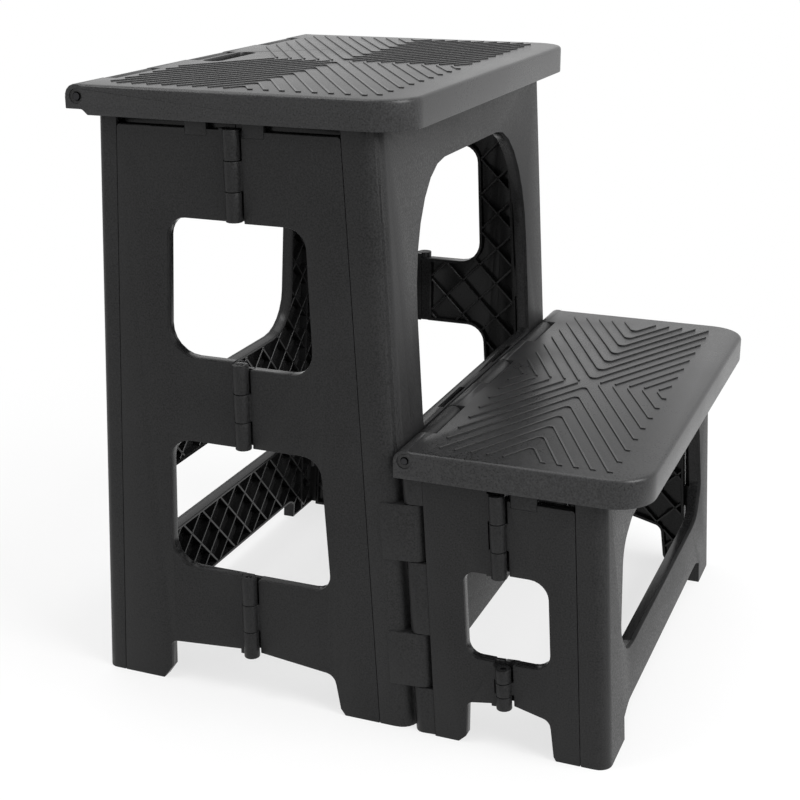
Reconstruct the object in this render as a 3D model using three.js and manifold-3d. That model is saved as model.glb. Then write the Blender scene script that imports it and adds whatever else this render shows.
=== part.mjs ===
// Folding two-step stool: a tall stool with a low step hinged to its front leg.
// Both fold flat sideways on hinged half-panels, and both tops swing on steel pins.
// Millimetres, +Z up, +X toward the low step, -Y the near side, floor at z = 0.

import * as THREE from 'three';
import { mergeVertices } from 'three/addons/utils/BufferGeometryUtils.js';
import Module from 'manifold-3d';

const wasm = await Module();
wasm.setup();

// Overall sizes
const tallHeight = 400;
const stepHeight = 194;
const tallFootReach = 113.7;
const stepDepth = 129.3;
const tallTopHalfWidth = 164.1;
const legLean = THREE.MathUtils.degToRad(3.217);

// Walls and clearances shared by every moulding
const skin = 3;
const flange = 2.4;
const ribWidth = 1.5;
const runningGap = 0.4;
const seamGap = 0.3;
const looseGap = 1;
const overrun = 2;
const arcSteps = 6;
const edgeSteps = 3;
const barrelSides = 16;
const hiddenSides = 8;
const boreSides = 8;

// Tall stool, widths and depths
const tallTopSideLap = 5.3;
const tallPanelDepth = 8;
const legFrameDepth = 9;
const tallRearReturn = 14.2;
const tallFrontReturn = 22.6;
const legCornerRadius = 13;
const rearCornerRadius = 8;
const legTopDrop = 10;
const legTopRadius = 6;
const tallPanelDrop = 23;
const archSillDrop = 3.7;

// Low step, widths and depths
const stepTopExtra = 1.6;
const stepTopSideLap = 5.7;
const stepPanelDepth = 8;
const stepFrontReturn = 18;
const stepPanelDrop = 22.7;
const stepRearTopDrop = 19.6;
const stepFrontTopDrop = 24.7;

// Corner hinges between legs and half-panels
const cornerInset = 10.5;
const tallCornerSetIn = 8;
const stepCornerSetIn = 7.7;
const cornerBarrelRadius = 3.6;
const cornerPinRadius = 1.3;
const cornerReliefRadius = 4.8;
const openPivotPlay = 1.1;
const railSetback = 16;

// Exposed tongues that hinge the step's rear half-panels on the tall front leg
const tongueStandoff = 8.1;
const tongueRadius = 7.3;
const tonguePinRadius = 1.8;
const tonguePanelEdge = 16.1;

// Hinges in the middle of each side
const tallMidProud = 0.5;
const stepMidProud = 0.5;
const tallMidRadius = 5.2;
const stepMidRadius = 5;
const midPinRadius = 1.6;
const midEdge = 6.2;
const midNeckDepth = 4.6;

// Tall top
const tallTopOverhang = 21.58;
const tallRimDepth = 18.3;
const tallPinStandoff = 10.66;
const tallTopPinDrop = 7.5;
const tallBossRadius = 7.5;
const topPinRadius = 2.4;
const topCornerRadius = 26;
const topEdgeRound = 2.4;
const topRibDepth = 6;
const bossRecessRadius = 4.6;
const bossRecessDepth = 1.5;
const notchGap = 0.8;
const slotSetback = 11;
const slotWidth = 13.8;
const slotHalfLength = 30.5;
const slotWall = 2;
const fingerRoom = 8;

// Step top
const stepTopOverhang = 26.1;
const stepRimDepth = 18;
const stepPinStandoff = 7.42;
const stepTopPinDrop = 6.85;
const stepBossRadius = 6.85;
const stepPinRadius = 2.2;

// Slots in the front leg's ledge behind the step's top
const ledgeSlotSetback = 1.2;
const ledgeSlotWidth = 3.8;
const ledgeSlotDepth = 6;

// Lugs that stand up from the half-panels to the rim
const lugProud = 0.4;
const lugDepth = 2.4;
const lugRoot = 4;
const lugClearance = 0.4;

// Places on the tall half-panels, as shares of the foot reach and of the panels' height
const tallRearShares = {
  foot: [0.605, 0],
  footShoulder: [0.549, 0.0244],
  arch: [0.543, 0.079, 0.045],
  archMiddle: 0.091,
  lowWindowFoot: [0.501, 0.2308, 0.155],
  lowWindowHead: [0.472, 0.4709, 0.14],
  highWindowFoot: [0.453, 0.6191, 0.165],
  highWindowHead: [0.409, 0.8555, 0.115],
  lug: [0.146, 0.273],
};
const tallFrontShares = {
  foot: [0.585, 0],
  footShoulder: [0.557, 0.0117],
  arch: [0.52, 0.0748, 0.07],
  archMiddle: 0.0902,
  lowWindowFoot: [0.513, 0.2297, 0.11],
  lowWindowHead: [0.462, 0.4727, 0.125],
  highWindowFoot: [0.435, 0.6096, 0.14],
  highWindowHead: [0.405, 0.8536, 0.115],
  lug: [0.0616, 0.187],
};
// Knuckle groups of the tall sides, bottom and top as shares of the panels' height
const tallMidGroupShares = [[0.0812, 0.2355], [0.4706, 0.6191], [0.8557, 1.0032]];
const tallCornerGroupShares = [[0.0955, 0.2228], [0.4828, 0.6101], [0.87, 0.9867]];

// Places on the step's half-panels, as shares of half its run and of the panels' height
const stepRearShares = {
  foot: [0.57, 0],
  footShoulder: [0.478, 0.0272],
  arch: [0.45, 0.1699, 0.08],
  archMiddle: 0.188,
  windowFoot: [0.43, 0.3556, 0.22],
  windowHead: [0.43, 0.6976, 0.2],
};
const stepFrontShares = {
  foot: [0.58, 0],
  footShoulder: [0.553, 0.0159],
  arch: [0.52, 0.1586, 0.12],
  archMiddle: 0.1925,
  windowFoot: [0.546, 0.3556, 0.2],
  windowHead: [0.546, 0.7044, 0.24],
  lug: [0.155, 0.45],
};
const stepMidGroupShares = [[0.1778, 0.342], [0.6942, 1.0102]];
const stepCornerGroupShares = [[0.1812, 0.3851], [0.7475, 0.974]];
// Joints between the exposed tongues, from the floor up, as shares of the step panels' height
const tongueJointShares = [0, 0.1903, 0.4088, 0.6942, 0.9162, 1.0397];

// Knuckles under the tops, as shares of the tall stool's half width: one in the middle, one each side
const knuckleShares = { middle: 0.17, from: 0.485, to: 0.8187 };
// Slots in the front leg's ledge, between the middle knuckle and the outer ones
const ledgeSlotShares = [0.19, 0.46];

// Openings in the legs, as shares of the half width and of the height
const tallArchShares = {
  half: 0.705,
  flatHalf: 0.327,
  spring: 0.656,
  crown: 0.8748,
  sillRound: 0.02,
};
const rearArchShares = {
  half: 0.655,
  flatHalf: 0.327,
  sill: 0.4365,
  spring: 0.656,
  crown: 0.8748,
  sillRound: 0.19,
};
const lowBayShares = { half: 0.69, foot: 0.183, head: 0.3075, round: 0.1 };
const tallCutShares = { edge: 0.743, shoulder: 0.7, shoulderHeight: 0.03, top: 0.0413 };
const stepCutShares = { edge: 0.75, shoulder: 0.675, shoulderHeight: 0.083, top: 0.11 };
const stepBayShares = [
  [0.375, 0.745, 0.12],
  [0.6, 0.735, 0.1],
  [0.74, 0.68, 0.16],
  [0.79, 0.4, 0.1],
  [0.7, 0.3, 0.14],
  [0.58, 0.289, 0.1],
];

// Ribs under the tops: rows as shares of the half width, lines as shares of the depth
const tallRibShares = { rows: [-0.67, -0.335, 0.335, 0.67], lines: [0.2, 0.4, 0.6, 0.8] };
const stepRibShares = { rows: [-0.67, -0.335, 0, 0.335, 0.67], lines: [0.25, 0.5, 0.75] };

// How much of a side a rounded corner may take, and how round the ends are
const roundShares = { corner: 0.49, tongue: 0.98, slot: 0.48, cheek: 0.333 };

// Worked-out places
const leanTangent = Math.tan(legLean);
const upTheLean = (z) => z / Math.cos(legLean);
const faceAt = (foot, z) => foot - leanTangent * z;
const stepFootReach = tallFootReach + stepDepth;
const tallHalfWidth = tallTopHalfWidth - tallTopSideLap;
const stepTopHalfWidth = tallTopHalfWidth + stepTopExtra;
const stepHalfWidth = stepTopHalfWidth - stepTopSideLap;
const tallCornerSide = tallHalfWidth - tallCornerSetIn;
const stepCornerSide = stepHalfWidth - stepCornerSetIn;
const tallPanelTop = tallHeight - tallPanelDrop;
const stepPanelTop = stepHeight - stepPanelDrop;
const stepRearTop = stepHeight - stepRearTopDrop;
const stepFrontTop = stepHeight - stepFrontTopDrop;
const tallCornerFoot = tallFootReach - cornerInset / Math.cos(legLean);
const stepRearFoot = tallFootReach + tongueStandoff / Math.cos(legLean);
const stepCornerFoot = stepFootReach - cornerInset / Math.cos(legLean);
const stepMidFoot = (stepRearFoot + stepCornerFoot) / 2;
const stepHalfRun = (stepCornerFoot - stepRearFoot) / 2;
const tallRimBottom = tallHeight - tallRimDepth;
const stepRimBottom = stepHeight - stepRimDepth;
const tallPinZ = tallHeight - tallTopPinDrop;
const stepPinZ = stepHeight - stepTopPinDrop;
const tallTopPinX = -faceAt(tallFootReach, tallPinZ) - tallPinStandoff;
const stepTopPinX = faceAt(tallFootReach, stepPinZ) + stepPinStandoff;
const tallTopReach = faceAt(tallFootReach, tallHeight) + tallTopOverhang;
const stepTopReach = faceAt(stepFootReach, stepHeight) + stepTopOverhang;
const slotRear = tallTopPinX + slotSetback;
const slotFront = slotRear + slotWidth;
const rearSill = upTheLean(rearArchShares.sill * tallHeight);
const frontSill = upTheLean(stepHeight - archSillDrop);
const legTop = tallHeight - legTopDrop;
const stepLegTop = stepHeight - legTopDrop;
const originShift = (stepTopReach - tallFootReach) / 2;

const plastic = (color) => new THREE.MeshStandardMaterial({ color, roughness: 0.62, metalness: 0 });
const steel = new THREE.MeshStandardMaterial({ color: 0x767677, roughness: 0.4, metalness: 1 });
const topPlastic = plastic(0x272728);
const legPlastic = plastic(0x242425);
const panelPlastic = plastic(0x222223);

// Frames: each maps (a, b, c) of a flat outline and its depth into the stool

function frameOf(origin, a, b, c) {
  return new THREE.Matrix4().makeBasis(a, b, c).setPosition(origin);
}

const xAxis = new THREE.Vector3(1, 0, 0);
const yAxis = new THREE.Vector3(0, 1, 0);
const zAxis = new THREE.Vector3(0, 0, 1);
const level = frameOf(new THREE.Vector3(), xAxis, yAxis, zAxis);

// Near side: a is x, b is z, c points out of the side
function sideFrame(face) {
  return frameOf(new THREE.Vector3(0, -face, 0), xAxis, zAxis, yAxis.clone().negate());
}

function leanAxes(lean) {
  const out = new THREE.Vector3(Math.cos(lean), 0, Math.sin(lean));
  const up = new THREE.Vector3(-Math.sin(lean), 0, Math.cos(lean));
  return { out, up };
}

// A leg is drawn upright and leaned when it is placed: on its face, a is y, b is z, c points out
const legFace = frameOf(new THREE.Vector3(), yAxis, zAxis, xAxis);

// Seen from above along a leaning line: a points out, b is y, c runs up the line
function planFrame(foot, lean = legLean) {
  const { out, up } = leanAxes(lean);
  return frameOf(new THREE.Vector3(foot, 0, 0), out, yAxis, up);
}

// Outlines: corners are [a, b, radius]

function turnOf(corners) {
  const area = corners.reduce((sum, [a, b], i) => {
    const [c, d] = corners[(i + 1) % corners.length];
    return sum + a * d - b * c;
  }, 0);
  return Math.sign(area);
}

function neighbours(corners, i) {
  const count = corners.length;
  const [before, here, after] = [i + count - 1, i, i + 1].map((k) => {
    const [a, b] = corners[k % count];
    return new THREE.Vector2(a, b);
  });
  const arriving = here.clone().sub(before).normalize();
  const leaving = after.clone().sub(here).normalize();
  return { before, here, after, arriving, leaving };
}

function rounded(corners, steps = arcSteps) {
  const points = [];
  corners.forEach(([, , radius = 0], i) => {
    const { before, here, after, arriving, leaving } = neighbours(corners, i);
    const turn = Math.atan2(arriving.cross(leaving), arriving.dot(leaving));
    if (radius === 0 || turn === 0) {
      points.push(here);
      return;
    }
    const wanted = radius * Math.tan(Math.abs(turn) / 2);
    const room = Math.min(here.distanceTo(before), here.distanceTo(after)) * roundShares.corner;
    const tangent = Math.min(wanted, room);
    const fitted = tangent / Math.tan(Math.abs(turn) / 2);
    const start = here.clone().addScaledVector(arriving, -tangent);
    const inward = new THREE.Vector2(-arriving.y, arriving.x).multiplyScalar(Math.sign(turn) * fitted);
    const centre = start.clone().add(inward);
    for (let k = 0; k <= steps; k += 1) {
      points.push(start.clone().rotateAround(centre, (turn * k) / steps));
    }
  });
  return points;
}

// Moves every edge inward by the distance, or outward when it is negative
function inset(corners, distance) {
  const side = turnOf(corners);
  return corners.map(([a, b, radius = 0], i) => {
    const { arriving, leaving } = neighbours(corners, i);
    const first = new THREE.Vector2(-arriving.y, arriving.x).multiplyScalar(side);
    const second = new THREE.Vector2(-leaving.y, leaving.x).multiplyScalar(side);
    const shift = first.clone().add(second).multiplyScalar(distance / (1 + first.dot(second)));
    const convex = Math.sign(arriving.cross(leaving)) === side;
    const grown = radius === 0 ? 0 : Math.max(radius - (convex ? distance : -distance), 0);
    return [a + shift.x, b + shift.y, grown];
  });
}

function circle(a, b, radius, sides = barrelSides) {
  return Array.from({ length: sides }, (_, i) => {
    const angle = (2 * Math.PI * (i + 0.5)) / sides;
    return new THREE.Vector2(a + radius * Math.cos(angle), b + radius * Math.sin(angle));
  });
}

function rectangle(a0, a1, b0, b1) {
  return rounded([[a0, b0], [a1, b0], [a1, b1], [a0, b1]]);
}

// An arm from a wall to a round end: the wall is at a0 and the round end's centre at (a1, b)
function tongueOutline(a0, a1, b, radius) {
  const end = a1 + Math.sign(a1 - a0) * radius;
  const round = radius * roundShares.tongue;
  return rounded([
    [a0, b - radius],
    [end, b - radius, round],
    [end, b + radius, round],
    [a0, b + radius],
  ]);
}

// Solids

function solidOf(geometry) {
  geometry.deleteAttribute('normal');
  geometry.deleteAttribute('uv');
  const welded = mergeVertices(geometry);
  const vertProperties = new Float32Array(welded.attributes.position.array);
  const triVerts = new Uint32Array(welded.index.array);
  return new wasm.Manifold(new wasm.Mesh({ numProp: 3, vertProperties, triVerts }));
}

function geometryOf(solid) {
  const { vertProperties, triVerts, numProp } = solid.getMesh();
  const geometry = new THREE.BufferGeometry();
  const places = new Float32Array((vertProperties.length / numProp) * 3);
  for (let i = 0; i < places.length / 3; i += 1) {
    places.set(vertProperties.subarray(i * numProp, i * numProp + 3), i * 3);
  }
  geometry.setAttribute('position', new THREE.BufferAttribute(places, 3));
  geometry.setIndex(new THREE.BufferAttribute(new Uint32Array(triVerts), 1));
  return geometry;
}

function prism(frame, outline, from, to) {
  const shape = new THREE.Shape(outline);
  const geometry = new THREE.ExtrudeGeometry(shape, { depth: to - from, bevelEnabled: false });
  geometry.translate(0, 0, from);
  geometry.applyMatrix4(frame);
  return solidOf(geometry);
}

// A level slab whose upper edge is rounded
function crownedSlab(outline, from, to, round) {
  const shape = new THREE.Shape(outline);
  const geometry = new THREE.ExtrudeGeometry(shape, {
    depth: to - from - 2 * round,
    bevelThickness: round,
    bevelSize: round,
    bevelOffset: -round,
    bevelSegments: edgeSteps,
  });
  geometry.translate(0, 0, from + round);
  return solidOf(geometry);
}

function joined(solids) {
  return solids.reduce((sum, solid) => sum.add(solid));
}

function without(solid, cuts) {
  return cuts.reduce((rest, cut) => rest.subtract(cut), solid);
}

// Heights of the knuckles that share a group, each less a running gap at its joints
function knuckleSpans([from, to], gap, count = 3) {
  const length = (to - from) / count;
  return Array.from({ length: count }, (_, k) => {
    const foot = from + k * length;
    return [foot + gap / 2, foot + length - gap / 2];
  });
}

const spansOf = (shares, height) => shares.map(([from, to]) => [from * height, to * height]);

// Heights along a hinge line as a leg sees them, when the line runs the given distance outside its face
function seenFromFace(spans, distance) {
  return spans.map((height) => height - distance * leanTangent);
}

// The level frame as a leg sees it before it is leaned
function levelInLeg(foot) {
  return planFrame(foot).invert();
}

// Everything below the floor, for cutting feet flat
function belowFloor(frame) {
  const reach = stepTopReach + overrun;
  const side = stepTopHalfWidth + overrun;
  return prism(frame, rectangle(-reach, reach, -side, side), -legTopDrop - overrun, 0);
}

// Legs

// An arch with a flat crown, two quarter ellipses and upright sides
function archOutline({ half, flatHalf, spring, crown, sillRound }, sill, width, height) {
  const base = rounded([
    [-half * width, sill, sillRound * width],
    [half * width, sill, sillRound * width],
    [half * width, spring * height],
    [-half * width, spring * height],
  ]).slice(0, -2);
  const reach = (half - flatHalf) * width;
  const rise = (crown - spring) * height;
  const quarter = Array.from({ length: arcSteps + 2 }, (_, i) => (Math.PI / 2) * (i / (arcSteps + 1)));
  const right = quarter.map((angle) => new THREE.Vector2(
    flatHalf * width + reach * Math.cos(angle),
    spring * height + rise * Math.sin(angle),
  ));
  const left = right.map((point) => new THREE.Vector2(-point.x, point.y)).reverse();
  return [...base, ...right, ...left];
}

// The same arch grown by a wall, so that a rim can stand round the opening
function grownArch(shares, sill, width, height, wall) {
  const grown = {
    half: shares.half + wall / width,
    flatHalf: shares.flatHalf,
    spring: shares.spring,
    crown: shares.crown + wall / height,
    sillRound: shares.sillRound + wall / width,
  };
  return archOutline(grown, sill - wall, width, height);
}

function bayCorners({ half, foot, head, round }, width, height) {
  const radius = round * width;
  return [
    [-half * width, foot * height, radius],
    [half * width, foot * height, radius],
    [half * width, head * height, radius],
    [-half * width, head * height, radius],
  ];
}

// The silhouette of a leg: two feet with a shallow cut between them
function legCorners({ edge, shoulder, shoulderHeight, top }, width, height, head) {
  return [
    [-width, -seamGap],
    [-edge * width, -seamGap],
    [-edge * width, shoulderHeight * height],
    [-shoulder * width, top * height, top * height],
    [shoulder * width, top * height, top * height],
    [edge * width, shoulderHeight * height],
    [edge * width, -seamGap],
    [width, -seamGap],
    [width, head, legTopRadius],
    [-width, head, legTopRadius],
  ];
}

// The room behind a leg's plate and between its returns, seen from above
function legInside({ halfWidth, returnDepth, cornerRadius }) {
  return [
    [-returnDepth, halfWidth - skin],
    [-skin, halfWidth - skin, cornerRadius - skin],
    [-skin, skin - halfWidth, cornerRadius - skin],
    [-returnDepth, skin - halfWidth],
  ];
}

// The outside of a leg with its side returns, seen from above
function legOutside({ halfWidth, returnDepth, cornerRadius }) {
  return [
    [-returnDepth, -halfWidth],
    [0, -halfWidth, cornerRadius],
    [0, halfWidth, cornerRadius],
    [-returnDepth, halfWidth],
  ];
}

// Walls that stiffen a leg's plate: round its edge, round its openings and up its sides
function legFrames({ corners, openings, head, cornerSide }, holes) {
  const edgeBand = prism(legFace, rounded(corners), -legFrameDepth, -skin / 2)
    .subtract(prism(legFace, rounded(inset(corners, flange)), -legFrameDepth - overrun, 0));
  const rims = openings.map(({ rim }) => prism(legFace, rim, -legFrameDepth, -skin / 2));
  const rail = cornerSide - railSetback;
  const rails = [-1, 1].map((side) => prism(
    legFace,
    rectangle(side * rail - flange / 2, side * rail + flange / 2, 0, head - flange / 2),
    -legFrameDepth,
    -skin / 2,
  ));
  return without(joined([edgeBand, ...rails, ...rims]), holes);
}

// Knuckles behind a leg's plate for the pins in its two corners, and the bores through them
function legCornerHinges({ head, cornerSide, groups }) {
  const knuckles = [];
  const bores = [];
  for (const side of [-1, 1]) {
    const corner = side * cornerSide;
    const outline = tongueOutline(-skin / 2, -cornerInset, corner, cornerBarrelRadius);
    for (const group of groups) {
      const [low, high] = seenFromFace(knuckleSpans(group, looseGap, 2)[0], -cornerInset);
      knuckles.push(prism(level, outline, low, high));
    }
    const bore = circle(-cornerInset, corner, cornerPinRadius + runningGap, boreSides);
    bores.push(prism(level, bore, 0, head));
  }
  return { knuckles: joined(knuckles), bores };
}

// A leg: a plate folded back at both sides, with openings, stiffening walls and corner hinges
function legBody(leg) {
  const { foot, bend, corners, head, openings } = leg;
  const outer = legOutside(bend);
  const envelope = prism(level, rounded(outer), -overrun, head + overrun);
  const shell = prism(level, rounded([...outer, ...legInside(bend)]), -overrun, head + overrun);
  const silhouette = prism(legFace, rounded(corners), -bend.returnDepth - overrun, overrun);
  const holes = openings.map(({ outline }) => prism(legFace, outline, -bend.returnDepth, overrun));
  const plate = without(shell.intersect(silhouette), holes);
  const frames = legFrames(leg, holes).intersect(silhouette).intersect(envelope);
  const { knuckles, bores } = legCornerHinges(leg);
  return without(joined([plate, frames, knuckles]), [...bores, belowFloor(levelInLeg(foot))]);
}

const rearBend = {
  halfWidth: tallHalfWidth,
  returnDepth: tallRearReturn,
  cornerRadius: rearCornerRadius,
};
const frontBend = {
  halfWidth: tallHalfWidth,
  returnDepth: tallFrontReturn,
  cornerRadius: legCornerRadius,
};
const stepBend = {
  halfWidth: stepHalfWidth,
  returnDepth: stepFrontReturn,
  cornerRadius: legCornerRadius,
};

function tallLeg(bend, archShares, sill) {
  const height = upTheLean(tallHeight);
  const bay = bayCorners(lowBayShares, tallHalfWidth, height);
  return legBody({
    foot: tallFootReach,
    bend,
    corners: legCorners(tallCutShares, tallHalfWidth, height, upTheLean(legTop)),
    head: upTheLean(legTop),
    openings: [
      {
        outline: archOutline(archShares, sill, tallHalfWidth, height),
        rim: grownArch(archShares, sill, tallHalfWidth, height, flange),
      },
      { outline: rounded(bay), rim: rounded(inset(bay, -flange)) },
    ],
    cornerSide: tallCornerSide,
    groups: spansOf(tallCornerGroupShares, upTheLean(tallPanelTop)),
  });
}

// Stretches along Y in which the carrying leg has the knuckles of a top
function knuckleStretches(gap) {
  const [middle, from, to] = ['middle', 'from', 'to'].map((key) => knuckleShares[key] * tallHalfWidth);
  return [
    [gap - to, -from - gap],
    [gap - middle, middle - gap],
    [from + gap, to - gap],
  ];
}

// Seen across the stool: a is x, b is z, and the stretch runs along y
function acrossPrism(outline, y0, y1, within = level) {
  return prism(within.clone().multiply(sideFrame(0)), outline, -y1, -y0);
}

// Rear leg, drawn at +X and turned to the back
function rearLeg() {
  const pinX = -tallTopPinX;
  const barrel = tallBossRadius - seamGap;
  const body = tallLeg(rearBend, rearArchShares, rearSill);
  const wallX = faceAt(tallFootReach, legTop) - skin / 2;
  const within = levelInLeg(tallFootReach);
  const arms = knuckleStretches(runningGap).flatMap(([y0, y1]) => [
    acrossPrism(rectangle(wallX, pinX, tallPinZ - barrel, legTop - legTopRadius / 2), y0, y1, within),
    acrossPrism(circle(pinX, tallPinZ, barrel), y0, y1, within),
  ]);
  const hole = circle(pinX, tallPinZ, topPinRadius + runningGap, boreSides);
  const bore = acrossPrism(hole, -tallTopHalfWidth, tallTopHalfWidth, within);
  const fingers = prism(
    level,
    rectangle(-tallRearReturn, -skin, -slotHalfLength - fingerRoom, slotHalfLength + fingerRoom),
    upTheLean(rearArchShares.crown * tallHeight) + 2 * flange,
    upTheLean(tallHeight),
  );
  return without(body.add(joined(arms)), [bore, fingers]);
}

// Height of one exposed tongue along its pin, counted from the floor
function tongueSpan(k) {
  const [low, high] = tongueJointShares.slice(k, k + 2).map((share) => upTheLean(share * stepPanelTop));
  return [low + runningGap / 2, high - runningGap / 2];
}

function ledgeSlots() {
  const [from, to] = ledgeSlotShares.map((share) => share * tallHalfWidth);
  return [-1, 1].map((side) => prism(
    legFace,
    rectangle(side * from, side * to, frontSill - ledgeSlotDepth, frontSill + overrun),
    -ledgeSlotSetback - ledgeSlotWidth,
    -ledgeSlotSetback,
  ));
}

// Front leg of the tall stool, with the step's hinge on its face
function frontLeg() {
  const body = tallLeg(frontBend, tallArchShares, frontSill);
  const inside = prism(level, rounded(legInside(frontBend)), 0, upTheLean(legTop));
  const tongues = [];
  const bores = [];
  for (const side of [-1, 1]) {
    const corner = side * stepCornerSide;
    const outline = tongueOutline(-legCornerRadius, tongueStandoff, corner, tongueRadius);
    for (const k of [1, 3]) {
      const [low, high] = seenFromFace(tongueSpan(k), tongueStandoff);
      tongues.push(prism(level, outline, low, high).subtract(inside));
    }
    const bore = circle(tongueStandoff, corner, tonguePinRadius + runningGap, boreSides);
    bores.push(prism(level, bore, 0, upTheLean(stepPinZ)));
  }
  const barrel = stepBossRadius - seamGap;
  const wallX = faceAt(tallFootReach, stepPinZ) - skin / 2;
  const within = levelInLeg(tallFootReach);
  const arms = knuckleStretches(runningGap).flatMap(([y0, y1]) => [
    acrossPrism(rectangle(wallX, stepTopPinX, stepPinZ - barrel, stepPinZ), y0, y1, within),
    acrossPrism(circle(stepTopPinX, stepPinZ, barrel), y0, y1, within),
  ]);
  const hole = circle(stepTopPinX, stepPinZ, stepPinRadius + runningGap, boreSides);
  bores.push(acrossPrism(hole, -stepTopHalfWidth, stepTopHalfWidth, within));
  return without(body.add(joined([...tongues, ...arms])), [...bores, ...ledgeSlots()]);
}

function stepFrontLeg() {
  const height = upTheLean(stepHeight);
  const right = stepBayShares.map(([a, b, radius]) => [
    a * stepHalfWidth,
    b * height,
    radius * stepHalfWidth,
  ]);
  const left = right.map(([a, b, radius]) => [-a, b, radius]).reverse();
  const bay = [...right, ...left];
  return legBody({
    foot: stepFootReach,
    bend: stepBend,
    corners: legCorners(stepCutShares, stepHalfWidth, height, upTheLean(stepLegTop)),
    head: upTheLean(stepLegTop),
    openings: [{ outline: rounded(bay), rim: rounded(inset(bay, -flange)) }],
    cornerSide: stepCornerSide,
    groups: spansOf(stepCornerGroupShares, upTheLean(stepPanelTop)),
  });
}

// Half-panels

// A panel with a skin outside and walls round its edge
function panelBlank({ corners, face, depth }) {
  const frame = sideFrame(face);
  const block = prism(frame, rounded(corners), -depth, 0);
  const hollow = rounded(inset(corners, flange));
  const pocket = prism(frame, hollow, -depth - overrun, -skin);
  return block.subtract(pocket);
}

function lugOn(face, [from, to], side, panelTop, rimBottom) {
  const outline = rectangle(side * from, side * to, panelTop - lugRoot, rimBottom - lugClearance);
  return prism(sideFrame(face), outline, -lugDepth, lugProud);
}

// Knuckles of one half-panel on the middle hinge, toward its own side of the hinge line
function midKnuckles({ foot, lean, face, proud, radius, groups, own, side }) {
  const plan = planFrame(foot, lean);
  const axis = -(face + proud);
  const near = -face;
  const neck = rectangle(0, side * (midEdge + flange), near, near + midNeckDepth);
  return joined(groups.flatMap((group) => {
    const spans = knuckleSpans(group, runningGap);
    return own.flatMap((k) => [
      prism(plan, circle(0, axis, radius), spans[k][0], spans[k][1]),
      prism(plan, neck, spans[k][0], spans[k][1]),
    ]);
  }));
}

// Strips behind the barrels that close the hinge line where a half-panel's edge is solid
function midStrips({ foot, lean, face, proud, radius, depth, stretches, side }) {
  const plan = planFrame(foot, lean);
  const near = radius - proud + runningGap - face;
  const strip = rectangle(side * seamGap / 2, side * (midEdge + flange), near, depth - face);
  return joined(stretches.map(([low, high]) => prism(plan, strip, low + seamGap, high - seamGap)));
}

function midBore({ foot, lean, face, proud, height }) {
  const hole = circle(0, -(face + proud), midPinRadius + runningGap, boreSides);
  return prism(planFrame(foot, lean), hole, -overrun, height);
}

// Knuckles of a half-panel on a leg's corner pin, reached by arms behind the leg's return
function cornerHinge({ foot, corner, arm, groups, play }) {
  const plan = planFrame(foot);
  const axis = -corner;
  const armOutline = rectangle(-arm, 0, axis - cornerBarrelRadius, axis);
  const knuckles = groups.flatMap((group) => {
    const [low, high] = knuckleSpans(group, looseGap, 2)[1];
    return [
      prism(plan, circle(0, axis, cornerBarrelRadius, hiddenSides), low, high),
      prism(plan, armOutline, low, high),
    ];
  });
  const reliefs = groups.map((group) => {
    const [low, high] = knuckleSpans(group, -looseGap, 2)[0];
    return prism(plan, circle(0, axis, cornerReliefRadius, hiddenSides), low, high);
  });
  const bore = prism(plan, circle(0, axis, cornerPinRadius + play, boreSides), -overrun, tallHeight);
  return { knuckles: joined(knuckles), reliefs, bore };
}

// A wall on the inner edge of a tall half-panel's top, which stands up close to the rim's lower edge
function tallLip(face, reach) {
  const outline = rectangle(seamGap / 2, reach, tallPanelTop - flange, tallRimBottom - lugClearance);
  return prism(sideFrame(face), outline, -tallPanelDepth, flange - tallPanelDepth);
}

// One half of a tall side, drawn at the near front and mirrored where it belongs
function tallHalf({ shares, returnDepth, own, play }) {
  const edge = (z) => faceAt(tallFootReach, z) - returnDepth - seamGap;
  const at = ([s, z, radius = 0]) => [s * tallFootReach, z * tallPanelTop, radius * tallFootReach];
  const window = (head, foot) => [
    [midEdge, at(foot)[1]],
    at(foot),
    at(head),
    [midEdge, at(head)[1]],
  ];
  const corners = [
    [edge(tallPanelTop), tallPanelTop, flange],
    [edge(0), 0],
    at(shares.foot),
    at(shares.footShoulder),
    at(shares.arch),
    [midEdge, shares.archMiddle * tallPanelTop],
    ...window(shares.lowWindowHead, shares.lowWindowFoot),
    ...window(shares.highWindowHead, shares.highWindowFoot),
    [midEdge, tallPanelTop],
  ];
  const face = tallHalfWidth;
  const middle = { foot: 0, lean: 0, face, proud: tallMidProud };
  const corner = cornerHinge({
    foot: tallCornerFoot,
    corner: tallCornerSide,
    arm: returnDepth - cornerInset + seamGap + flange,
    groups: spansOf(tallCornerGroupShares, upTheLean(tallPanelTop)),
    play,
  });
  const knuckles = midKnuckles({
    ...middle,
    radius: tallMidRadius,
    groups: spansOf(tallMidGroupShares, tallPanelTop),
    own,
    side: 1,
  });
  const solidEdge = [
    [shares.archMiddle, shares.lowWindowFoot[1]],
    [shares.lowWindowHead[1], shares.highWindowFoot[1]],
    [shares.highWindowHead[1], 1],
  ];
  const strips = midStrips({
    ...middle,
    radius: tallMidRadius,
    depth: tallPanelDepth,
    stretches: spansOf(solidEdge, tallPanelTop),
    side: 1,
  });
  const lug = lugOn(face, shares.lug.map((share) => share * tallFootReach), 1, tallPanelTop, tallRimBottom);
  const lip = tallLip(face, edge(tallPanelTop) - flange);
  const blank = without(panelBlank({ corners, face, depth: tallPanelDepth }), corner.reliefs);
  return without(joined([blank, lug, lip, knuckles, strips, corner.knuckles]), [
    corner.bore,
    midBore({ ...middle, height: tallHeight }),
  ]);
}

const stepMidAt = (z) => faceAt(stepMidFoot, z);

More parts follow.
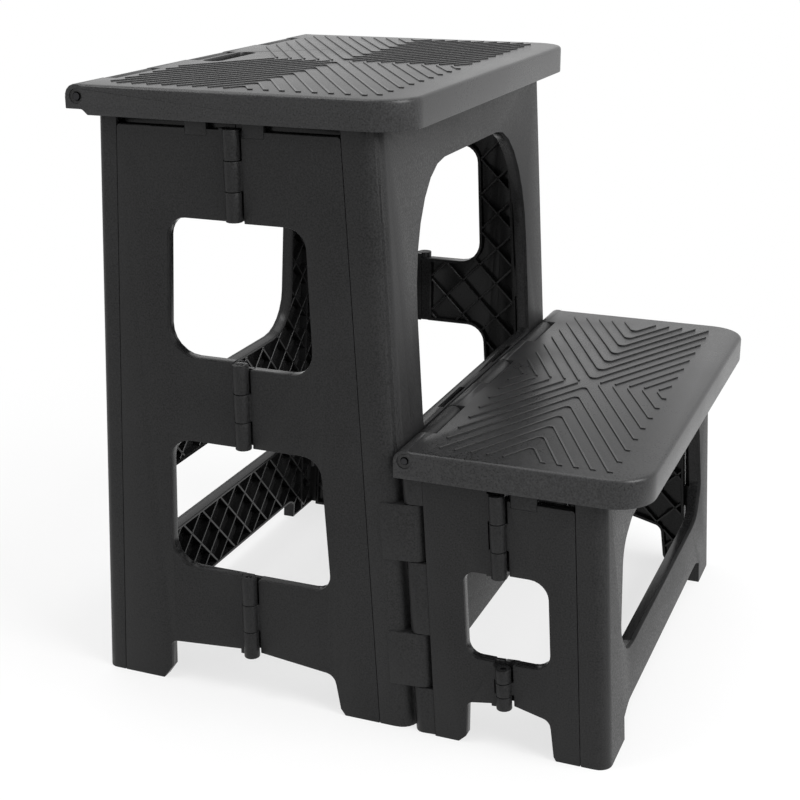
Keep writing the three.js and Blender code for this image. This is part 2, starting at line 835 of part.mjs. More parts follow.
// Outline of a step half-panel: side is 1 for the front half and -1 for the rear half
function stepCorners(shares, side, outerEdge, top) {
  const place = (s, z, radius = 0) => [stepMidAt(z) + side * s, z, radius];
  const at = ([s, z, radius = 0]) => place(s * stepHalfRun, z * stepPanelTop, radius * stepHalfRun);
  const height = (spot) => at(spot)[1];
  return [
    place(outerEdge, top, flange),
    place(outerEdge, 0),
    at(shares.foot),
    at(shares.footShoulder),
    at(shares.arch),
    place(midEdge, shares.archMiddle * stepPanelTop),
    place(midEdge, height(shares.windowFoot)),
    at(shares.windowFoot),
    at(shares.windowHead),
    place(midEdge, height(shares.windowHead)),
    place(midEdge, top),
  ];
}

const stepMiddle = { foot: stepMidFoot, lean: legLean, face: stepHalfWidth, proud: stepMidProud };

function stepMidKnuckles(own, side) {
  const groups = spansOf(stepMidGroupShares, stepPanelTop);
  return midKnuckles({ ...stepMiddle, radius: stepMidRadius, groups, own, side });
}

function stepMidStrips(shares, side, top) {
  const solidEdge = [[shares.archMiddle, shares.windowFoot[1]], [shares.windowHead[1], top / stepPanelTop]];
  const stretches = spansOf(solidEdge, upTheLean(stepPanelTop));
  return midStrips({ ...stepMiddle, radius: stepMidRadius, depth: stepPanelDepth, stretches, side });
}

function stepFrontHalf(play) {
  const outerEdge = stepFootReach - stepFrontReturn - seamGap - stepMidFoot;
  const corners = stepCorners(stepFrontShares, 1, outerEdge, stepFrontTop);
  const corner = cornerHinge({
    foot: stepCornerFoot,
    corner: stepCornerSide,
    arm: stepFrontReturn - cornerInset + seamGap + flange,
    groups: spansOf(stepCornerGroupShares, upTheLean(stepPanelTop)),
    play,
  });
  const lugFrom = stepMidAt(stepPanelTop);
  const lugSpan = stepFrontShares.lug.map((share) => lugFrom + share * stepHalfRun);
  const blank = panelBlank({ corners, face: stepHalfWidth, depth: stepPanelDepth });
  return without(
    joined([
      without(blank, corner.reliefs),
      lugOn(stepHalfWidth, lugSpan, 1, stepFrontTop, stepRimBottom),
      stepMidKnuckles([1], 1),
      stepMidStrips(stepFrontShares, 1, stepFrontTop),
      corner.knuckles,
    ]),
    [corner.bore, midBore({ ...stepMiddle, height: stepHeight })],
  );
}

function stepRearHalf() {
  const outerEdge = stepMidFoot - tallFootReach - tonguePanelEdge;
  const corners = stepCorners(stepRearShares, -1, outerEdge, stepRearTop);
  const plan = planFrame(stepRearFoot);
  const reach = tonguePanelEdge - tongueStandoff + flange;
  const tongue = tongueOutline(reach, 0, -stepCornerSide, tongueRadius);
  const tongues = [0, 2, 4].map((k) => prism(plan, tongue, ...tongueSpan(k)));
  const blank = panelBlank({ corners, face: stepHalfWidth, depth: stepPanelDepth });
  const bore = prism(
    plan,
    circle(0, -stepCornerSide, tonguePinRadius + runningGap, boreSides),
    -overrun,
    upTheLean(stepHeight),
  );
  const strips = stepMidStrips(stepRearShares, -1, stepRearTop);
  return without(joined([blank, ...tongues, stepMidKnuckles([0, 2], -1), strips]), [
    bore,
    midBore({ ...stepMiddle, height: stepHeight }),
    belowFloor(level),
  ]);
}

// Tops

// The shell of a top: a plate with a rounded upper edge and a rim on three sides
function topShell({ rear, front, halfWidth, top, rimDepth }) {
  const corners = [
    [rear, -halfWidth],
    [front, -halfWidth, topCornerRadius],
    [front, halfWidth, topCornerRadius],
    [rear, halfWidth],
  ];
  const rimBottom = top - rimDepth;
  const low = rimBottom - 2 * topEdgeRound;
  const slab = crownedSlab(rounded(corners, arcSteps + edgeSteps), low, top, topEdgeRound);
  const below = prism(level, rounded(inset(corners, -overrun)), low - overrun, rimBottom);
  const hollow = inset(corners, skin).map(([x, y, radius], i) => {
    const open = i % 3 === 0;
    return [open ? rear - overrun : x, y, radius];
  });
  const pocket = prism(level, rounded(hollow, arcSteps + edgeSteps), rimBottom - overrun, top - skin);
  return slab.subtract(below).subtract(pocket);
}

// Ribs under a top's plate, in rows along x and lines along y
function topRibs({ rear, front, halfWidth, top, pinX, ribShares }) {
  const span = [top - skin - topRibDepth, top - skin / 2];
  const wall = ribWidth / 2;
  const rows = ribShares.rows.map((share) => {
    const y = share * halfWidth;
    return prism(level, rectangle(pinX, front - skin / 2, y - wall, y + wall), ...span);
  });
  const lines = ribShares.lines.map((share) => {
    const x = rear + share * (front - rear);
    const reach = halfWidth - skin / 2;
    return prism(level, rectangle(x - wall, x + wall, -reach, reach), ...span);
  });
  return [...rows, ...lines];
}

// One end of a top's barrel along y: from the inner to the outer distance, on one side
function endSpan(side, inner, outer) {
  return side > 0 ? [inner, outer] : [-outer, -inner];
}

// A top: a plate with a deep rim, ribs below, and a barrel on its rear pin
function topBody(shape) {
  const { halfWidth, top, rimDepth, pinX, pinZ, bossRadius, pinRadius, cheek } = shape;
  const rimBottom = top - rimDepth;
  const ends = [-1, 1].map((side) => (
    acrossPrism(rounded(cheek), ...endSpan(side, halfWidth - skin, halfWidth))
  ));
  const barrel = acrossPrism(circle(pinX, pinZ, bossRadius), -halfWidth, halfWidth);
  const notchFront = pinX + bossRadius + notchGap;
  const notches = knuckleStretches(-seamGap / 2).map(([y0, y1]) => prism(
    level,
    rectangle(pinX - bossRadius - overrun, notchFront, y0, y1),
    rimBottom - overrun,
    top + overrun,
  ));
  const recess = circle(pinX, pinZ, bossRecessRadius);
  const recesses = [-1, 1].map((side) => (
    acrossPrism(recess, ...endSpan(side, halfWidth - bossRecessDepth, halfWidth + overrun))
  ));
  const hole = circle(pinX, pinZ, pinRadius + runningGap, boreSides);
  const bore = acrossPrism(hole, -halfWidth, halfWidth);
  const solids = [topShell(shape), ...topRibs(shape), ...ends, barrel];
  return without(joined(solids), [...notches, ...recesses, bore]);
}

function tallTop() {
  const rear = tallTopPinX;
  const cheekRear = tallTopPinX - tallBossRadius;
  const cheekLow = tallPinZ - tallBossRadius;
  const cheekRound = tallBossRadius * roundShares.cheek;
  const cheek = [
    [cheekRear, cheekLow],
    [rear + tallBossRadius, cheekLow],
    [rear + tallBossRadius, tallPinZ],
    [cheekRear, tallPinZ],
  ];
  const body = topBody({
    rear,
    front: tallTopReach,
    halfWidth: tallTopHalfWidth,
    top: tallHeight,
    rimDepth: tallRimDepth,
    pinX: tallTopPinX,
    pinZ: tallPinZ,
    bossRadius: tallBossRadius,
    pinRadius: topPinRadius,
    cheek,
    ribShares: tallRibShares,
  });
  const slotCorners = [
    [slotRear, -slotHalfLength],
    [slotFront, -slotHalfLength],
    [slotFront, slotHalfLength],
    [slotRear, slotHalfLength],
  ].map(([x, y]) => [x, y, (slotFront - slotRear) * roundShares.slot]);
  const slot = rounded(slotCorners);
  const collar = prism(
    level,
    rounded(inset(slotCorners, -slotWall)),
    tallHeight - skin - topRibDepth,
    tallHeight - skin / 2,
  );
  const notchFront = tallTopPinX + tallBossRadius + notchGap;
  const keep = prism(
    level,
    rectangle(notchFront, tallTopReach, -tallTopHalfWidth, tallTopHalfWidth),
    tallRimBottom,
    tallHeight,
  );
  const opening = prism(level, slot, tallRimBottom, tallHeight + overrun);
  const bend = [
    [rear - overrun, tallRimBottom - overrun],
    [rear + tallBossRadius, tallRimBottom - overrun],
    [rear + tallBossRadius, tallRimBottom],
    [rear + tallBossRadius / 2, cheekLow, cheekRound],
    [rear - overrun, cheekLow],
  ];
  const bendCut = acrossPrism(rounded(bend), -tallTopHalfWidth - overrun, tallTopHalfWidth + overrun);
  return without(body.add(collar.intersect(keep)), [opening, bendCut]);
}

function stepTop() {
  const rear = stepTopPinX;
  const cheekRear = stepTopPinX - stepBossRadius;
  const cheek = [
    [cheekRear, stepRimBottom, runningGap],
    [rear + stepBossRadius, stepRimBottom],
    [rear + stepBossRadius, stepPinZ],
    [cheekRear, stepPinZ],
  ];
  return topBody({
    rear,
    front: stepTopReach,
    halfWidth: stepTopHalfWidth,
    top: stepHeight,
    rimDepth: stepRimDepth,
    pinX: stepTopPinX,
    pinZ: stepPinZ,
    bossRadius: stepBossRadius,
    pinRadius: stepPinRadius,
    cheek,
    ribShares: stepRibShares,
  });
}

// Pins

function crossPin(x, z, radius, halfWidth) {
  const half = halfWidth - bossRecessDepth / 2;
  return acrossPrism(circle(x, z, radius, boreSides), -half, half);
}

function cornerPin(foot, corner, radius, from, to) {
  return prism(planFrame(foot), circle(0, -corner, radius, boreSides), from, to);
}

function midPin({ foot, lean, face, proud }, [from, to]) {
  return prism(
    planFrame(foot, lean),
    circle(0, -(face + proud), midPinRadius, boreSides),
    from + runningGap,
    to - runningGap,
  );
}

// Placing

const stool = new THREE.Group();
stool.position.x = -originShift;

function mirrored(geometry, axis) {
  const flips = { x: [-1, 1, 1], y: [1, -1, 1] };
  geometry.scale(...flips[axis]);
  const { array } = geometry.index;
  for (let i = 0; i < array.length; i += 3) {
    [array[i], array[i + 1]] = [array[i + 1], array[i]];
  }
  return geometry;
}

function place(name, solid, material, { toRear = false, toFar = false } = {}) {
  const geometry = geometryOf(solid);
  if (toRear) {
    mirrored(geometry, 'x');
  }
  if (toFar) {
    mirrored(geometry, 'y');
  }
  const mesh = new THREE.Mesh(geometry, material);
  mesh.name = name;
  stool.add(mesh);
}

// Leans an upright leg inward over its foot, at the front or turned to the back
function placeLeg(name, solid, foot, turn = 0) {
  const mesh = new THREE.Mesh(geometryOf(solid), legPlastic);
  mesh.name = name;
  mesh.position.x = foot;
  mesh.rotation.y = -legLean;
  const turned = new THREE.Group();
  turned.rotation.z = turn;
  turned.add(mesh);
  stool.add(turned);
}

placeLeg('tall_rear_leg', rearLeg(), tallFootReach, Math.PI);
placeLeg('tall_front_leg', frontLeg(), tallFootReach);
placeLeg('step_front_leg', stepFrontLeg(), stepFootReach);
place('tall_top', tallTop(), topPlastic);
place('step_top', stepTop(), topPlastic);
place('tall_top_pin', crossPin(tallTopPinX, tallPinZ, topPinRadius, tallTopHalfWidth), steel);
place('step_top_pin', crossPin(stepTopPinX, stepPinZ, stepPinRadius, stepTopHalfWidth), steel);

const tallMiddle = { foot: 0, lean: 0, face: tallHalfWidth, proud: tallMidProud };
const tallPinSpan = [
  upTheLean(tallCornerGroupShares[0][0] * tallPanelTop) - looseGap,
  upTheLean(tallCornerGroupShares[2][1] * tallPanelTop) + looseGap,
];
const stepPinSpan = [
  upTheLean(stepCornerGroupShares[0][0] * stepPanelTop) - looseGap,
  upTheLean(stepCornerGroupShares[1][1] * stepPanelTop) + looseGap,
];
const tonguePinSpan = [overrun, tongueSpan(4)[1]];

for (const toFar of [false, true]) {
  const side = toFar ? 'far' : 'near';
  const play = toFar ? openPivotPlay : runningGap;
  const rear = {
    shares: tallRearShares,
    returnDepth: tallRearReturn,
    own: [0, 2],
    play: runningGap,
  };
  const front = {
    shares: tallFrontShares,
    returnDepth: tallFrontReturn,
    own: [1],
    play,
  };
  place(`tall_${side}_rear_panel`, tallHalf(rear), panelPlastic, { toRear: true, toFar });
  place(`tall_${side}_front_panel`, tallHalf(front), panelPlastic, { toFar });
  place(`step_${side}_rear_panel`, stepRearHalf(), panelPlastic, { toFar });
  place(`step_${side}_front_panel`, stepFrontHalf(play), panelPlastic, { toFar });

  const tallCorner = cornerPin(tallCornerFoot, tallCornerSide, cornerPinRadius, ...tallPinSpan);
  const stepCorner = cornerPin(stepCornerFoot, stepCornerSide, cornerPinRadius, ...stepPinSpan);
  const tonguePin = cornerPin(stepRearFoot, stepCornerSide, tonguePinRadius, ...tonguePinSpan);
  place(`tall_${side}_rear_corner_pin`, tallCorner, steel, { toRear: true, toFar });
  place(`tall_${side}_front_corner_pin`, tallCorner, steel, { toFar });
  place(`step_${side}_rear_corner_pin`, tonguePin, steel, { toFar });
  place(`step_${side}_front_corner_pin`, stepCorner, steel, { toFar });

  const heights = ['lower', 'middle', 'upper'];
  spansOf(tallMidGroupShares, tallPanelTop).forEach((group, i) => {
    place(`tall_${side}_${heights[i]}_hinge_pin`, midPin(tallMiddle, group), steel, { toFar });
  });
  spansOf(stepMidGroupShares, stepPanelTop).forEach((group, i) => {
    place(`step_${side}_${heights[2 * i]}_hinge_pin`, midPin(stepMiddle, group), steel, { toFar });
  });
}

const model = new THREE.Group();
model.add(stool);

export default model;
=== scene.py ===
"""Looks of the folding two-step stool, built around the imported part.

The frame is the part's own: +Z up, +X toward the low step, -Y the near side. Sizes and places are
in millimetres and turn into Blender's metres through MM, except where a comment says metres.
"""

import math

import bmesh
import bpy
from mathutils import Matrix, Vector
from mathutils.bvhtree import BVHTree


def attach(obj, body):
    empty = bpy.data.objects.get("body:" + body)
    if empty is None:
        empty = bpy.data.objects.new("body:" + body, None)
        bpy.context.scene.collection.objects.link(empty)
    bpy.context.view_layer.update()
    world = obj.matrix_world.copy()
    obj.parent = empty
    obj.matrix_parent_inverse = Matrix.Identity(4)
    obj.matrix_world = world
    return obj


MM = 0.001

# Places shared with the part
ORIGIN_SHIFT = 72.25
LEG_LEAN = math.radians(3.217)
TALL_FOOT_REACH = 113.7
STEP_FOOT_REACH = 243
TALL_TOP = 400
STEP_TOP = 194
TALL_FACE = 158.8
STEP_FACE = 160
SKIN = 3

# The camera, solved from the photograph
CAMERA_AT = (342.55, -926.8, 513.9)
CAMERA_AZIMUTH = math.radians(21.918)
CAMERA_ELEVATION = math.radians(19.330)
CAMERA_ROLL = math.radians(-0.205)
CAMERA_LENS = 66.48
CAMERA_SENSOR = 36

# Raised anti-slip lines on the tops: their section, and how they turn and end
RIDGE_WIDTH = 1.35
RIDGE_HEIGHT = 0.8
RIDGE_SUNK = 0.2
RIDGE_DRAFT = 0.05
RIDGE_CHAMFER = 0.12
RIDGE_HOOK = 2.6
RIDGE_ROUND = 3
RIDGE_BEND_STEPS = 5
RIDGE_PARTING = 2.5
SHARPEST_MITRE = 0.5

# The fields of these lines: centre along X, middle along Y, reach from the centre, slope of the
# lines, place of the first bend, and pitch from line to line
TALL_RIDGES = {"centre": 0, "middle": 0, "reach": 88, "slope": 1.58, "first": 7, "pitch": 16.4}
STEP_RIDGES = {"centre": 180.5, "middle": -2.5, "reach": 53, "slope": 2, "first": 7.5, "pitch": 20}
RIDGE_FIELD_HALF = 151
TALL_BENT_LINES = 9
STEP_BENT_LINES = 7
HAND_SLOT_HALF = 56

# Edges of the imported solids; the two distances below which points join are in metres
WELD_DISTANCE = 0.00002
JOIN_DISTANCE = 0.000002
SOFT_EDGE_ANGLE = math.radians(40)
SMOOTH_ANGLE = math.radians(32)
EDGE_SEGMENTS = 2
MOULDED_EDGE = 0.4
PIN_EDGE = 0.25

# Crossed ribs on the inner sides
RIB_SPACING = 28
RIB_WIDTH = 1.5
RIB_EDGE = 0.2
RIB_ROOT = 0.2
RIB_STEP = 0.5
RIB_SHORTEST = 3
RIB_PROBE = 1
BARE_SKIN_TOLERANCE = 0.25
PANEL_RIB_DEPTH = 7.6
LEG_RIB_DEPTH = 8.6

# Where each half-panel may carry ribs along X, and between which heights
TALL_PANEL_SPANS = (("rear", -100, -6), ("front", 6, 92))
TALL_PANEL_HEIGHTS = (4, 376)
STEP_PANEL_SPANS = (("rear", 128, 176), ("front", 176, 226))
STEP_PANEL_HEIGHTS = (3, 170)

# The same for the legs, across them from the middle, and up their lean
LEG_RIB_HALF = 156
LEG_RIB_FOOT = 3
TALL_LEG_RIB_TOP = 388
STEP_LEG_RIB_TOP = 182

# Blind pockets under the slots in the low step's ledge
POCKET_INNER = 29
POCKET_OUTER = 74.2
POCKET_FLOOR = 183.2
POCKET_TOP = 188.4
POCKET_FRONT = 2.9
POCKET_BACK = 6.6
POCKET_WALL = 1.2

# Corner numbers of a box's six faces, for corners counted by Y, then height, then depth
BOX_FACES = (
    (0, 1, 3, 2),
    (4, 6, 7, 5),
    (0, 4, 5, 1),
    (2, 3, 7, 6),
    (0, 2, 6, 4),
    (1, 5, 7, 3),
)

# Finishes of the plastic; the depth of the grain is in metres
TOP_FINISH = {
    "base": (0.02, 0.02, 0.0205),
    "roughness": 0.32,
    "specular": 0.3,
    "grain_depth": 0.00009,
    "speckle": 0.05,
}
LEG_FINISH = {
    "base": (0.0145, 0.0145, 0.0148),
    "roughness": 0.46,
    "specular": 0.2,
    "grain_depth": 0.00018,
    "speckle": 0.14,
}
PANEL_FINISH = {
    "base": (0.0125, 0.0125, 0.0128),
    "roughness": 0.44,
    "specular": 0.2,
    "grain_depth": 0.00018,
    "speckle": 0.14,
}
# Darker base than the panels' plastic: painted shade for the ribs and ledge pockets in recesses
SHADED_RIB_FINISH = {
    "base": (0.008, 0.008, 0.0082),
    "roughness": 0.3,
    "specular": 0.35,
    "grain_depth": 0.00009,
    "speckle": 0.05,
}
PLASTIC_IOR = 1.5

# The smooth inner side, which begins a little within the skin and in from the corner returns
INNER_ROUGHNESS = 0.24
INNER_MARGIN = 0.3
RETURN_MARGIN = 1

# Clouds, grain and mottling of the plastic; scales are per metre
NOISE_ROUGHNESS = 0.55
NOISE_LOW = 0.3
NOISE_HIGH = 0.7
CLOUD_SCALE = 16
CLOUD_ROUGHNESS = 0.03
CLOUD_SHARE = 0.2
GRAIN_SCALE = 950
GRAIN_STRENGTH = 0.6
FINE_SCALE = 2800
FINE_SHARE = 0.25
MOTTLE_DARK = 0.3
MOTTLE_LIGHT = 1.8

# Wire; scales are per metre, and the depth of its lines is in metres
# Both tones of the wire are painted dark, as shade for the deep recesses at the pin ends
SHADED_STEEL_DARK = (0.015, 0.015, 0.016)
SHADED_STEEL_LIGHT = (0.05, 0.05, 0.053)
STEEL_CLOUD_SCALE = 120
STEEL_LINE_SCALE = 2600
STEEL_LINE_DEPTH = 0.00005
STEEL_LINE_STRENGTH = 0.4
STEEL_SMOOTHEST = 0.28
STEEL_ROUGHEST = 0.46

# Floor, in metres: under the stool it shows plain white by the share FLOOR_WHITE and takes the
# shadow with the rest, and from FADE_START to FADE_END it turns all white
FLOOR_SIZE = 8
FLOOR_ROUGHNESS = 0.9
FLOOR_SPECULAR = 0.1
FLOOR_MOTTLE_SCALE = 40
FLOOR_DARK = (0.93, 0.93, 0.93)
FLOOR_LIGHT = (0.96, 0.96, 0.96)
FLOOR_WHITE = 0.72
FADE_START = 0.25
FADE_END = 0.75

# Light: the studio's even fill, and soft boxes with their place, aim and side in metres, and watts
FILL_LIGHT = 0.44
SOFT_BOXES = (
    ("key", (1.5, -0.35, 1.35), (0, 0, 0.2), 1.2, 33),
    ("top", (-0.1, 0.2, 1.7), (0, 0, 0.2), 1.4, 12),
    ("edge", (-0.6, -0.6, 1.7), (0, 0, 0.3), 0.5, 4.5),
)

# Outward normals of the leaning leg frames
FRONT_OUT = Vector((math.cos(LEG_LEAN), 0, math.sin(LEG_LEAN)))
REAR_OUT = Vector((-math.cos(LEG_LEAN), 0, math.sin(LEG_LEAN)))

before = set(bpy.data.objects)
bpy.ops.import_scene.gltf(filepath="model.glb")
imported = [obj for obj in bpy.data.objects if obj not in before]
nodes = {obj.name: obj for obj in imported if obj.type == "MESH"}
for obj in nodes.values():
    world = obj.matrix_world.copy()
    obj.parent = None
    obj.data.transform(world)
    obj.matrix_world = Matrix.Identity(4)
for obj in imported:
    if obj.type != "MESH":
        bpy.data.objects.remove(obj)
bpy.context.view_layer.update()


# Shader nodes


def new_material(name):
    material = bpy.data.materials.new(name)
    material.use_nodes = True
    tree = material.node_tree
    return material, tree, tree.nodes["Principled BSDF"]


def add(tree, kind, inputs=None, **settings):
    """A node with its settings, and its inputs given as plain values or as outputs to link."""
    node = tree.nodes.new(kind)
    for key, value in settings.items():
        setattr(node, key, value)
    for key, value in (inputs or {}).items():
        socket = node.inputs[key]
        if isinstance(value, bpy.types.NodeSocket):
            tree.links.new(value, socket)
        else:
            socket.default_value = value
    return node


def noise(tree, place, scale, detail):
    inputs = {"Vector": place, "Scale": scale, "Detail": detail, "Roughness": NOISE_ROUGHNESS}
    return add(tree, "ShaderNodeTexNoise", inputs).outputs["Fac"]


def spread(tree, value, low, high):
    """Maps a noise value onto the range from low to high."""
    inputs = {
        "Value": value,
        "From Min": NOISE_LOW,
        "From Max": NOISE_HIGH,
        "To Min": low,
        "To Max": high,
    }
    return add(tree, "ShaderNodeMapRange", inputs).outputs["Result"]


def math_node(tree, operation, a, b):
    return add(tree, "ShaderNodeMath", {0: a, 1: b}, operation=operation).outputs[0]


def blend(tree, factor, low, high):
    """A value between two others; 2 and 3 are the Mix node's sockets for plain values."""
    inputs = {0: factor, 2: low, 3: high}
    return add(tree, "ShaderNodeMix", inputs, data_type="FLOAT").outputs[0]


def blend_colours(tree, factor, low, high):
    """A colour between two others; 6 and 7 are the Mix node's sockets for colours."""
    inputs = {0: factor, 6: (*low, 1), 7: (*high, 1)}
    return add(tree, "ShaderNodeMix", inputs, data_type="RGBA").outputs[2]


def object_place(tree):
    return add(tree, "ShaderNodeTexCoord").outputs["Object"]


def inside_mask(tree, place, normal, depth, half_width=None):
    """1 where a point lies deeper than a plane with this outward normal, and between the sides."""
    dot = add(tree, "ShaderNodeVectorMath", {0: place, 1: normal}, operation="DOT_PRODUCT")
    deep = math_node(tree, "LESS_THAN", dot.outputs["Value"], depth)
    if half_width is None:
        return deep
    y = add(tree, "ShaderNodeSeparateXYZ", {"Vector": place}).outputs["Y"]
    off_centre = math_node(tree, "ABSOLUTE", y, 0)
    between = math_node(tree, "LESS_THAN", off_centre, half_width)
    return math_node(tree, "MULTIPLY", deep, between)


# Materials


def moulded(name, base, roughness, specular, grain_depth, speckle, inner=None):
    """Injection-moulded plastic: grained outside, and smooth where the inner mask is 1."""
    material, tree, shader = new_material(name)
    place = object_place(tree)
    cloud = noise(tree, place, CLOUD_SCALE, detail=3)
    grain = noise(tree, place, GRAIN_SCALE, detail=2)
    fine = noise(tree, place, FINE_SCALE, detail=1)
    worn = spread(tree, cloud, roughness - CLOUD_ROUGHNESS, roughness + CLOUD_ROUGHNESS)
    rough = math_node(tree, "ADD", worn, spread(tree, grain, -speckle, speckle))
    strength = GRAIN_STRENGTH
    if inner is not None:
        mask = inside_mask(tree, place, *inner)
        rough = blend(tree, mask, rough, INNER_ROUGHNESS)
        strength = blend(tree, mask, GRAIN_STRENGTH, 0.0)
    height = math_node(tree, "ADD", grain, math_node(tree, "MULTIPLY", fine, FINE_SHARE))
    relief = {"Height": height, "Distance": grain_depth, "Strength": strength}
    bump = add(tree, "ShaderNodeBump", relief)
    mottle = spread(tree, blend(tree, CLOUD_SHARE, grain, cloud), 0.0, 1.0)
    dark = [channel * MOTTLE_DARK for channel in base]
    light = [channel * MOTTLE_LIGHT for channel in base]
    tree.links.new(blend_colours(tree, mottle, dark, light), shader.inputs["Base Color"])
    tree.links.new(rough, shader.inputs["Roughness"])
    tree.links.new(bump.outputs["Normal"], shader.inputs["Normal"])
    shader.inputs["IOR"].default_value = PLASTIC_IOR
    shader.inputs["Specular IOR Level"].default_value = specular
    return material


def drawn_steel(name):
    """Dull wire with fine lines and a trace of tarnish, darkened all over as painted shade."""
    material, tree, shader = new_material(name)
    place = object_place(tree)
    lines = noise(tree, place, STEEL_LINE_SCALE, detail=2)
    cloud = noise(tree, place, STEEL_CLOUD_SCALE, detail=2)
    relief = {"Height": lines, "Distance": STEEL_LINE_DEPTH, "Strength": STEEL_LINE_STRENGTH}
    bump = add(tree, "ShaderNodeBump", relief)
    # Its colour, dark in both tones, is painted shade for the recesses around the pins
    colour = blend_colours(tree, cloud, SHADED_STEEL_DARK, SHADED_STEEL_LIGHT)
    rough = spread(tree, lines, STEEL_SMOOTHEST, STEEL_ROUGHEST)
    tree.links.new(colour, shader.inputs["Base Color"])
    tree.links.new(rough, shader.inputs["Roughness"])
    tree.links.new(bump.outputs["Normal"], shader.inputs["Normal"])
    shader.inputs["Metallic"].default_value = 1
    return material


def leg_plane(foot_reach, outward, face):
    """A leg's inner side: its outward normal, where it begins along that, and its half width."""
    foot = math.copysign(foot_reach, outward.x) - ORIGIN_SHIFT
    depth = (foot * outward.x - SKIN + INNER_MARGIN) * MM
    return outward, depth, (face - SKIN - RETURN_MARGIN) * MM


def side_plane(face, side):
    """A side's inner side: its outward normal, and where it begins along that."""
    return Vector((0, side, 0)), (face - SKIN + INNER_MARGIN) * MM


def make_materials():
    """Finishes of the tops, the ribs, the wire, and each leg and side with a smooth inner side."""
    made = {
        "top": moulded("top_plastic", **TOP_FINISH),
        "shaded_gloss": moulded("inner_plastic", **SHADED_RIB_FINISH),
        "steel": drawn_steel("pin_steel"),
    }
    for name, foot_reach, outward, face in (
        ("rear_leg", TALL_FOOT_REACH, REAR_OUT, TALL_FACE),
        ("front_leg", TALL_FOOT_REACH, FRONT_OUT, TALL_FACE),
        ("step_leg", STEP_FOOT_REACH, FRONT_OUT, STEP_FACE),
    ):
        plane = leg_plane(foot_reach, outward, face)
        made[name] = moulded(f"{name}_plastic", inner=plane, **LEG_FINISH)
    for stool, face in (("tall", TALL_FACE), ("step", STEP_FACE)):
        for side_name, side in (("near", -1), ("far", 1)):
            name = f"{stool}_{side_name}"
            plane = side_plane(face, side)
            made[name] = moulded(f"{name}_panel_plastic", inner=plane, **PANEL_FINISH)
    return made


def material_of(node):
    """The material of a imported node, told from the node's name."""
    if node.endswith("pin"):
        return materials["steel"]
    if node in ("tall_top", "step_top"):
        return materials["top"]
    legs = {
        "tall_rear_leg": "rear_leg",
        "tall_front_leg": "front_leg",
        "step_front_leg": "step_leg",
    }
    if node in legs:
        return materials[legs[node]]
    stool, side = node.split("_")[:2]
    return materials[f"{stool}_{side}"]


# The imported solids: sharp edges rounded by modifiers, shaded smooth across gentle turns


def smooth_shading():
    """A node group that shades a mesh smooth and keeps its sharp edges."""
    group = bpy.data.node_groups.new("smooth_shading", "GeometryNodeTree")
    group.interface.new_socket("Geometry", in_out="INPUT", socket_type="NodeSocketGeometry")
    group.interface.new_socket("Geometry", in_out="OUTPUT", socket_type="NodeSocketGeometry")
    start = group.nodes.new("NodeGroupInput")
    end = group.nodes.new("NodeGroupOutput")
    faces = group.nodes.new("GeometryNodeSetShadeSmooth")
    faces.domain = "FACE"
    edges = group.nodes.new("GeometryNodeSetShadeSmooth")
    edges.domain = "EDGE"
    edges.inputs["Shade Smooth"].default_value = False
    angle = group.nodes.new("GeometryNodeInputMeshEdgeAngle")
    sharp = group.nodes.new("FunctionNodeCompare")
    sharp.data_type = "FLOAT"
    sharp.operation = "GREATER_THAN"
    sharp.inputs[1].default_value = SMOOTH_ANGLE
    group.links.new(angle.outputs["Unsigned Angle"], sharp.inputs[0])
    group.links.new(start.outputs[0], faces.inputs["Geometry"])
    group.links.new(faces.outputs[0], edges.inputs["Geometry"])
    group.links.new(sharp.outputs[0], edges.inputs["Selection"])
    group.links.new(edges.outputs[0], end.inputs[0])
    return group


def shade_smooth(obj):
    smooth = obj.modifiers.new("smooth", "NODES")
    smooth.node_group = smooth_group


def soften(obj, width):
    """Rounds a node's sharp edges by a hair, with its faces left where they are."""
    weld = obj.modifiers.new("weld", "WELD")
    weld.merge_threshold = WELD_DISTANCE
    bevel = obj.modifiers.new("edges", "BEVEL")
    bevel.width = width * MM
    bevel.segments = EDGE_SEGMENTS
    bevel.limit_method = "ANGLE"
    bevel.angle_limit = SOFT_EDGE_ANGLE
    bevel.use_clamp_overlap = False
    shade_smooth(obj)


def dress_packed_nodes():
    for node, obj in nodes.items():
        obj.data.materials.clear()
        obj.data.materials.append(material_of(node))
        soften(obj, PIN_EDGE if node.endswith("pin") else MOULDED_EDGE)


def new_piece(name, bm, material, body):
    """An object from a finished bmesh, riding on a body of the part."""
    bmesh.ops.remove_doubles(bm, verts=bm.verts, dist=JOIN_DISTANCE)
    bmesh.ops.recalc_face_normals(bm, faces=bm.faces)
    mesh = bpy.data.meshes.new(name)
    bm.to_mesh(mesh)
    bm.free()
    mesh.materials.append(material)
    obj = bpy.data.objects.new(name, mesh)
    bpy.context.scene.collection.objects.link(obj)
    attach(obj, body)
    return obj


# Raised anti-slip lines


def ridge_profile():
    """A ridge's section as (sideways, up) pairs, from foot to foot."""
    half = RIDGE_WIDTH / 2
    one_side = [
        (half, -RIDGE_SUNK),
        (half - RIDGE_DRAFT, RIDGE_HEIGHT - RIDGE_CHAMFER),
        (half - RIDGE_DRAFT - RIDGE_CHAMFER, RIDGE_HEIGHT),
    ]
    return [(-across, up) for across, up in one_side] + one_side[::-1]


